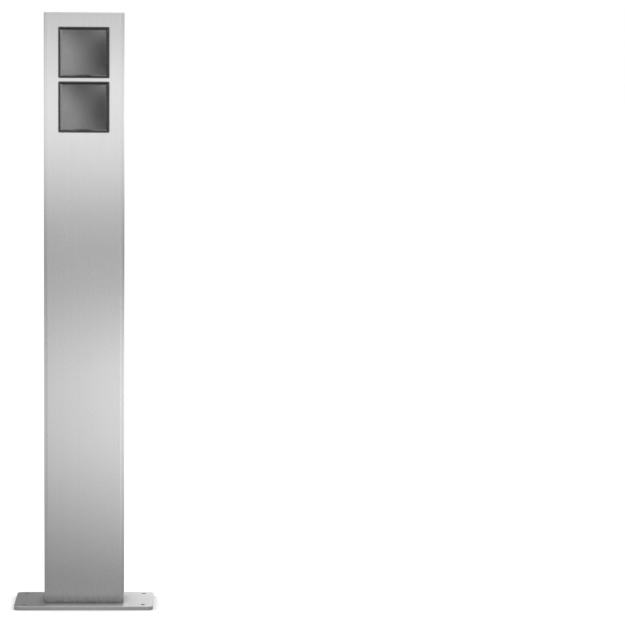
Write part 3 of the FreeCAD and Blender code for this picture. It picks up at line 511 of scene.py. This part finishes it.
def blue_plastic(name):
    """The neutral terminal."""
    return moulding(
        name, deep=(0.035, 0.10, 0.38, 1), pale=(0.05, 0.14, 0.46, 1), worn=(0.22, 0.32, 0.60, 1),
        smooth=0.42, rough=0.52, texture=2000.0, relief=0.00002, dusty=0.12)


def green_plastic(name):
    """The earth terminal, yellower where its edges are rubbed."""
    return moulding(
        name, deep=(0.04, 0.25, 0.06, 1), pale=(0.06, 0.32, 0.09, 1), worn=(0.30, 0.46, 0.18, 1),
        smooth=0.42, rough=0.52, texture=2000.0, relief=0.00002, dusty=0.12)


def steel_tube(name):
    """The tube and the cover, brushed along their length."""
    return brushed_steel(
        name, stretch=(2600.0, 2600.0, 9.0), anisotropy=0.70, dark=grey(0.718), light=grey(0.734),
        # reach and the last value set how far the painted corner shade reaches and how dark it is
        smooth=0.245, rough=0.265, cloud=12.0, reach=0.016, shade_amount=0.95)


def steel_plate(name):
    """The base plate and the cap, brushed across their width."""
    return brushed_steel(
        name, stretch=(9.0, 2200.0, 2200.0), anisotropy=0.0, dark=grey(0.75), light=grey(0.79),
        # reach and the last value set how far the painted corner shade reaches and how dark it is
        smooth=0.30, rough=0.34, cloud=18.0, reach=0.014, shade_amount=0.40)


finishes = {
    "anthracite_plastic": anthracite_plastic, "black_rubber": black_rubber, "zinc_steel": zinc_plating,
    "spring_steel": drawn_wire, "grey_plastic": grey_plastic, "black_plastic": black_plastic,
    "nickel_brass": contact_brass, "green_plastic": green_plastic, "blue_plastic": blue_plastic,
    "brushed_stainless": steel_tube,
}
own_finishes = {"base_plate": steel_plate, "top_cap": steel_plate, "foot_weld": weld_bead}
own_finishes.update({"bezel_" + outlet: matt_anthracite for outlet in outlets})


def dress_nodes():
    """Gives every CAD node the finish of its slot in the record, or its own, and returns what was made."""
    made = {}
    for part in frame["record"]["subparts"]:
        finish = own_finishes.get(part["node"], finishes[part["material_slot"]])
        if finish not in made:
            made[finish] = finish(finish.__name__)
        for slot in nodes[part["node"]].material_slots:
            slot.material = made[finish]
    return made


# New pieces

def new_piece(name, points, faces, material, body):
    """A smooth mesh piece that rides on a body, or on none where it bends between two."""
    mesh = bpy.data.meshes.new(name)
    mesh.from_pydata(points, [], faces)
    mesh.polygons.foreach_set("use_smooth", [True] * len(mesh.polygons))
    mesh.materials.append(material)
    piece = bpy.data.objects.new(name, mesh)
    bpy.context.scene.collection.objects.link(piece)
    if body:
        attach(piece, body)
    return piece


def spring_line(pivot):
    """Points along the wire's moving leg, its coil about the pin and its fixed leg, and the coil's length."""
    turned = 360 * spring_turns - (moving_leg_angle - fixed_leg_angle + 180)
    length = spring_pitch * turned / 360
    rise = spring_pitch / (2 * math.pi * spring_mean_radius)

    def place(angle):
        turn = math.radians(moving_leg_angle + 90 + angle)
        along = angle / 360 * spring_pitch - length / 2
        across, up = spring_mean_radius * math.cos(turn), spring_mean_radius * math.sin(turn)
        return pivot + Vector((along, across, up))

    def leg(angle):
        turn = math.radians(angle)
        return Vector((rise, math.cos(turn), math.sin(turn))).normalized() * spring_leg

    steps = round(turned / spring_step)
    coil = [place(turned * i / steps) for i in range(steps + 1)]
    moving = leg(moving_leg_angle + 180)
    fixed = leg(fixed_leg_angle)
    start = [coil[0] - moving * share for share in reversed(leg_shares)]
    finish = [coil[-1] + fixed * share for share in leg_shares]
    return start + coil + finish, length


def tube_along(line, radius, sides):
    """A round tube with domed ends along a line of points."""
    rings = []
    side = Vector((1.0, 0.0, 0.0))
    for i, point in enumerate(line):
        ahead = line[min(i + 1, len(line) - 1)]
        behind = line[max(i - 1, 0)]
        run = (ahead - behind).normalized()
        side = (side - run * side.dot(run)).normalized()
        rings.append((point, side, run.cross(side), run, radius))
    dome_rise = radius * wire_end_rise
    dome_radius = radius * wire_end_width
    point, side, up, run, _ = rings[0]
    rings.insert(0, (point - run * dome_rise, side, up, run, dome_radius))
    point, side, up, run, _ = rings[-1]
    rings.append((point + run * dome_rise, side, up, run, dome_radius))
    points = []
    for point, side, up, _, reach in rings:
        for k in range(sides):
            turn = 2 * math.pi * k / sides
            points.append(point + (side * math.cos(turn) + up * math.sin(turn)) * reach)
    faces = []
    for i in range(len(rings) - 1):
        for k in range(sides):
            n = (k + 1) % sides
            faces.append((i * sides + k, i * sides + n, (i + 1) * sides + n, (i + 1) * sides + k))
    faces.append(tuple(reversed(range(sides))))
    faces.append(tuple(range((len(rings) - 1) * sides, len(rings) * sides)))
    return points, faces


def flap_spring(outlet, material):
    """The torsion spring, which winds up between the column and the flap as the flap opens."""
    low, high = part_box("flap_pin_" + outlet)
    pivot = (low + high) / 2
    line, length = spring_line(pivot)
    points, faces = tube_along(line, wire_radius, wire_sides)
    spring = new_piece("spring_" + outlet, points, faces, material, None)
    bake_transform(spring)
    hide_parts("flap_spring_" + outlet)


def rounded_loop(half_width, half_height, corner, steps):
    """Points round a rectangle with round corners, each with its outward direction."""
    loop = []
    for quarter, (sx, sy) in enumerate(((1, 1), (-1, 1), (-1, -1), (1, -1))):
        for k in range(steps + 1):
            turn = math.pi / 2 * (quarter + k / steps)
            out = (math.cos(turn), math.sin(turn))
            loop.append((sx * (half_width - corner) + corner * out[0],
                         sy * (half_height - corner) + corner * out[1], out[0], out[1]))
    return loop


def soft_section(outline, radius):
    """A closed section whose corners are rounded as moulded rubber's are."""
    section = []
    for i, corner in enumerate(outline):
        here = Vector(corner)
        before = Vector(outline[i - 1]) - here
        after = Vector(outline[(i + 1) % len(outline)]) - here
        reach = min(radius, round_share * before.length, round_share * after.length)
        start = here + before.normalized() * reach
        finish = here + after.normalized() * reach
        for k in range(round_steps + 1):
            share = k / round_steps
            first = start.lerp(here, share)
            second = here.lerp(finish, share)
            section.append(first.lerp(second, share))
    return section


def swept_ring(loop, section, place):
    """A closed ring: the section (outward, height) carried round the loop."""
    points = []
    for u, v, out_u, out_v in loop:
        for outward, height in section:
            points.append(place(u + outward * out_u, v + outward * out_v, height))
    count = len(section)
    faces = []
    for i in range(len(loop)):
        j = (i + 1) % len(loop)
        for k in range(count):
            n = (k + 1) % count
            faces.append((i * count + k, i * count + n, j * count + n, j * count + k))
    return points, faces


def facing_ring(node, name, corner, section, material):
    """A rubber ring that lies in a vertical plane, where a CAD node has its own."""
    low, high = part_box(node)
    middle = (low + high) / 2
    loop = rounded_loop((high.x - low.x) / 2, (high.z - low.z) / 2, corner, ring_steps)

    def place(u, v, depth):
        return (middle.x + u, depth, middle.z + v)

    points, faces = swept_ring(loop, section(low.y, high.y), place)
    piece = new_piece(name, points, faces, material, "column")
    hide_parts(node)


def seal_section(front, back):
    """A foot on the bezel's floor, a neck, and a soft bulb that the flap presses."""
    inner = -seal_width
    middle = inner / 2
    bulb = seal_width * bulb_share
    shoulder = front + bulb
    neck_front = shoulder + bulb / 2
    neck_back = back - seal_foot
    half_neck = seal_neck / 2
    outline = [
        (0.0, back), (inner, back), (inner, neck_back), (middle - half_neck, neck_back),
        (middle - half_neck, neck_front), (inner * (1 - bulb_shoulder), shoulder),
        (inner * (1 - bulb_crown), front), (inner * bulb_crown, front), (inner * bulb_shoulder, shoulder),
        (middle + half_neck, neck_front), (middle + half_neck, neck_back), (0.0, neck_back),
    ]
    return soft_section(outline, seal_round)


def flat_gasket(width):
    """A flat gasket's section, its edges rounded where it is squeezed."""
    def section(front, back):
        return soft_section([(0.0, front), (0.0, back), (-width, back), (-width, front)], gasket_round)
    return section


def cable_bush(material):
    """The bush in the base plate: a flange, a sleeve and a bore with gripping ribs."""
    low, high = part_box("cable_bush")
    reach = (high.x - low.x) / 2
    shelf = high.z - bush_flange_thickness
    outline = [(reach, shelf), (reach, high.z), (bush_bore, high.z)]
    half_pitch = (high.z - low.z) / (2 * bush_ribs)
    for i in range(1, 2 * bush_ribs):
        depth = bush_rib_depth if i % 2 else 0.0
        outline.append((bush_bore + depth, high.z - i * half_pitch))
    outline += [(bush_bore, low.z), (bush_sleeve, low.z), (bush_sleeve, shelf)]
    section = [(outward - bush_sleeve, height) for outward, height in soft_section(outline, bush_round)]
    loop = rounded_loop(bush_sleeve, bush_sleeve, bush_sleeve, bush_steps)

    def place(u, v, height):
        return (u, v, height)

    points, faces = swept_ring(loop, section, place)
    faces = [face[::-1] for face in faces]
    bush = new_piece("cable_bush_ribbed", points, faces, material, "column")
    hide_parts("cable_bush")


def new_pieces(made):
    """The wound springs and the soft rubber parts, in the finishes that were made for the nodes."""
    rubber = made[black_rubber]
    for outlet in outlets:
        flap_spring(outlet, made[drawn_wire])
        facing_ring("flap_seal_" + outlet, "seal_bulb_" + outlet, seal_corner, seal_section, rubber)
        facing_ring("bezel_gasket_" + outlet, "rim_gasket_" + outlet, rim_gasket_corner,
                    flat_gasket(rim_gasket_width), rubber)
    facing_ring("service_gasket", "cover_gasket", cover_gasket_corner,
                flat_gasket(cover_gasket_width), rubber)
    cable_bush(rubber)


# Stage: camera, floor, light tent and lamps

def make_camera():
    """The camera, turned by its yaw from straight ahead, its pitch and its roll."""
    yaw, pitch, roll = (math.radians(angle) for angle in (camera_yaw, camera_pitch, camera_roll))
    ahead = Vector((math.sin(yaw) * math.cos(pitch), math.cos(yaw) * math.cos(pitch), math.sin(pitch)))
    level = Vector((math.cos(yaw), -math.sin(yaw), 0.0))
    above = level.cross(ahead)
    right = level * math.cos(roll) + above * math.sin(roll)
    up = above * math.cos(roll) - level * math.sin(roll)
    data = bpy.data.cameras.new("camera")
    data.sensor_width = sensor_width
    data.lens = focal_pixels / frame_pixels * sensor_width
    data.clip_end = camera_far
    camera = bpy.data.objects.new("camera", data)
    turned = Matrix((right, up, -ahead)).transposed().to_4x4()
    camera.matrix_world = Matrix.Translation(camera_place) @ turned
    bpy.context.scene.collection.objects.link(camera)
    bpy.context.scene.camera = camera


def background_share(tree):
    """One for a ray that should see the white background, and zero for light on the object."""
    rays = add(tree, "LightPath").outputs
    shiny = calc(tree, "MAXIMUM", rays["Is Glossy Ray"], rays["Is Transmission Ray"])
    return calc(tree, "MAXIMUM", rays["Is Camera Ray"], shiny)


def make_world():
    """White where it is seen, and an even fill light on the object."""
    world = bpy.data.worlds.new("studio")
    world.use_nodes = True
    tree = world.node_tree
    background = tree.nodes["Background"]
    background.inputs["Color"].default_value = grey(1.0)
    strength = spread(tree, background_share(tree), 0.0, 1.0, fill_strength, 1.0)
    tree.links.new(strength, background.inputs["Strength"])
    bpy.context.scene.world = world


def make_floor():
    """A pale floor that shows white, keeps a soft trace of the object's shadow, and has a painted contact
    shadow by the plate.
    """
    half = floor_half
    points = [(-half, -half, 0), (half, -half, 0), (half, half, 0), (-half, half, 0)]
    mesh = bpy.data.meshes.new("floor")
    mesh.from_pydata(points, [], [(0, 1, 2, 3)])
    material = bpy.data.materials.new("pale_floor")
    material.use_nodes = True
    tree = material.node_tree
    tree.nodes.remove(tree.nodes["Principled BSDF"])
    seen = background_share(tree)
    # Painted contact shadow: the floor's glow and colour darken where the plate closes it in
    near = add(tree, "AmbientOcclusion", {"Distance": contact_reach}, samples=contact_samples)
    contact = spread(tree, near.outputs["AO"], contact_dark, 1.0, contact_left, 1.0)
    shade = calc(tree, "MULTIPLY", spread(tree, seen, 0.0, 1.0, floor_colour, floor_share), contact)
    matt = add(tree, "BsdfDiffuse", {"Color": shade}).outputs[0]
    glowing = calc(tree, "MULTIPLY", calc(tree, "MULTIPLY", seen, floor_glow), contact)
    glow = add(tree, "Emission", {"Strength": glowing}).outputs[0]
    both = add(tree, "AddShader", {0: matt, 1: glow}).outputs[0]
    tree.links.new(both, tree.nodes["Material Output"].inputs["Surface"])
    mesh.materials.append(material)
    floor = bpy.data.objects.new("floor", mesh)
    bpy.context.scene.collection.objects.link(floor)


def tent_share(angle, radius, height):
    """The tent's share of tone at an angle from the front, from its values high up and low down."""
    for (before, high_a, low_a), (after, high_b, low_b) in zip(tent_sides, tent_sides[1:]):
        if angle <= after:
            part = (angle - before) / (after - before)
            break
    rise = min(max((height - tent_low) / (tent_high - tent_low), 0.0), 1.0)
    high = high_a + (high_b - high_a) * part
    low = low_a + (low_b - low_a) * part
    reach = min(radius / tent_reach, 1.0) ** tent_growth
    return 1.0 + (low + (high - low) * rise - 1.0) * reach


def make_tent():
    """A tent of soft light round the object, which only reflections see."""
    points = []
    tones = []
    for radius, height, tone in tent_profile:
        for k in range(tent_steps):
            angle = 360.0 * k / tent_steps - 180.0
            turn = math.radians(angle)
            points.append((radius * math.sin(turn), -radius * math.cos(turn), height))
            tones.append(tone * tent_share(angle, radius, height))
    faces = []
    for i in range(len(tent_profile) - 1):
        for k in range(tent_steps):
            n = (k + 1) % tent_steps
            faces.append((i * tent_steps + k, i * tent_steps + n,
                          (i + 1) * tent_steps + n, (i + 1) * tent_steps + k))
    mesh = bpy.data.meshes.new("light_tent")
    mesh.from_pydata(points, [], faces)
    mesh.attributes.new("tone", "FLOAT", "POINT").data.foreach_set("value", tones)
    material = bpy.data.materials.new("tent_cloth")
    material.use_nodes = True
    tree = material.node_tree
    tree.nodes.remove(tree.nodes["Principled BSDF"])
    tone = add(tree, "Attribute", attribute_name="tone").outputs["Fac"]
    glow = add(tree, "Emission", {"Strength": tone}).outputs[0]
    tree.links.new(glow, tree.nodes["Material Output"].inputs["Surface"])
    mesh.materials.append(material)
    tent = bpy.data.objects.new("light_tent", mesh)
    bpy.context.scene.collection.objects.link(tent)
    tent.visible_camera = tent.visible_diffuse = tent.visible_shadow = tent.visible_transmission = False


def softbox(name, place, sides, power, aim, shiny):
    """A soft lamp that the camera doesn't see. Gloss shows it only where shiny is true."""
    data = bpy.data.lights.new(name, "AREA")
    data.shape = "RECTANGLE"
    data.size, data.size_y = sides
    data.energy = power
    lamp = bpy.data.objects.new(name, data)
    turned = (place - aim).to_track_quat("Z", "Y").to_matrix().to_4x4()
    lamp.matrix_world = Matrix.Translation(place) @ turned
    lamp.visible_camera = False
    lamp.visible_glossy = shiny
    bpy.context.scene.collection.objects.link(lamp)
    return lamp


def make_stage():
    """The camera, the white surroundings and the lamps. A flap's sheen lamps light that flap alone."""
    make_camera()
    make_world()
    make_floor()
    make_tent()
    softbox("key_lamp", key_place, (key_size, key_size), key_power, aim_point, False)
    softbox("rim_lamp", rim_place, (rim_size, rim_size), rim_power, aim_point, False)
    for outlet in outlets:
        lit = bpy.data.collections.new("sheen_on_flap_" + outlet)
        lit.objects.link(nodes["flap_" + outlet])
        low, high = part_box("flap_" + outlet)
        middle = (low + high) / 2
        for away, width, height, power in sheen_lamps:
            lamp = softbox("sheen_lamp", middle + away, (width, height), power, middle, True)
            lamp.light_linking.receiver_collection = lit
    bpy.context.scene.view_settings.view_transform = "Standard"


make_stage()
new_pieces(dress_nodes())
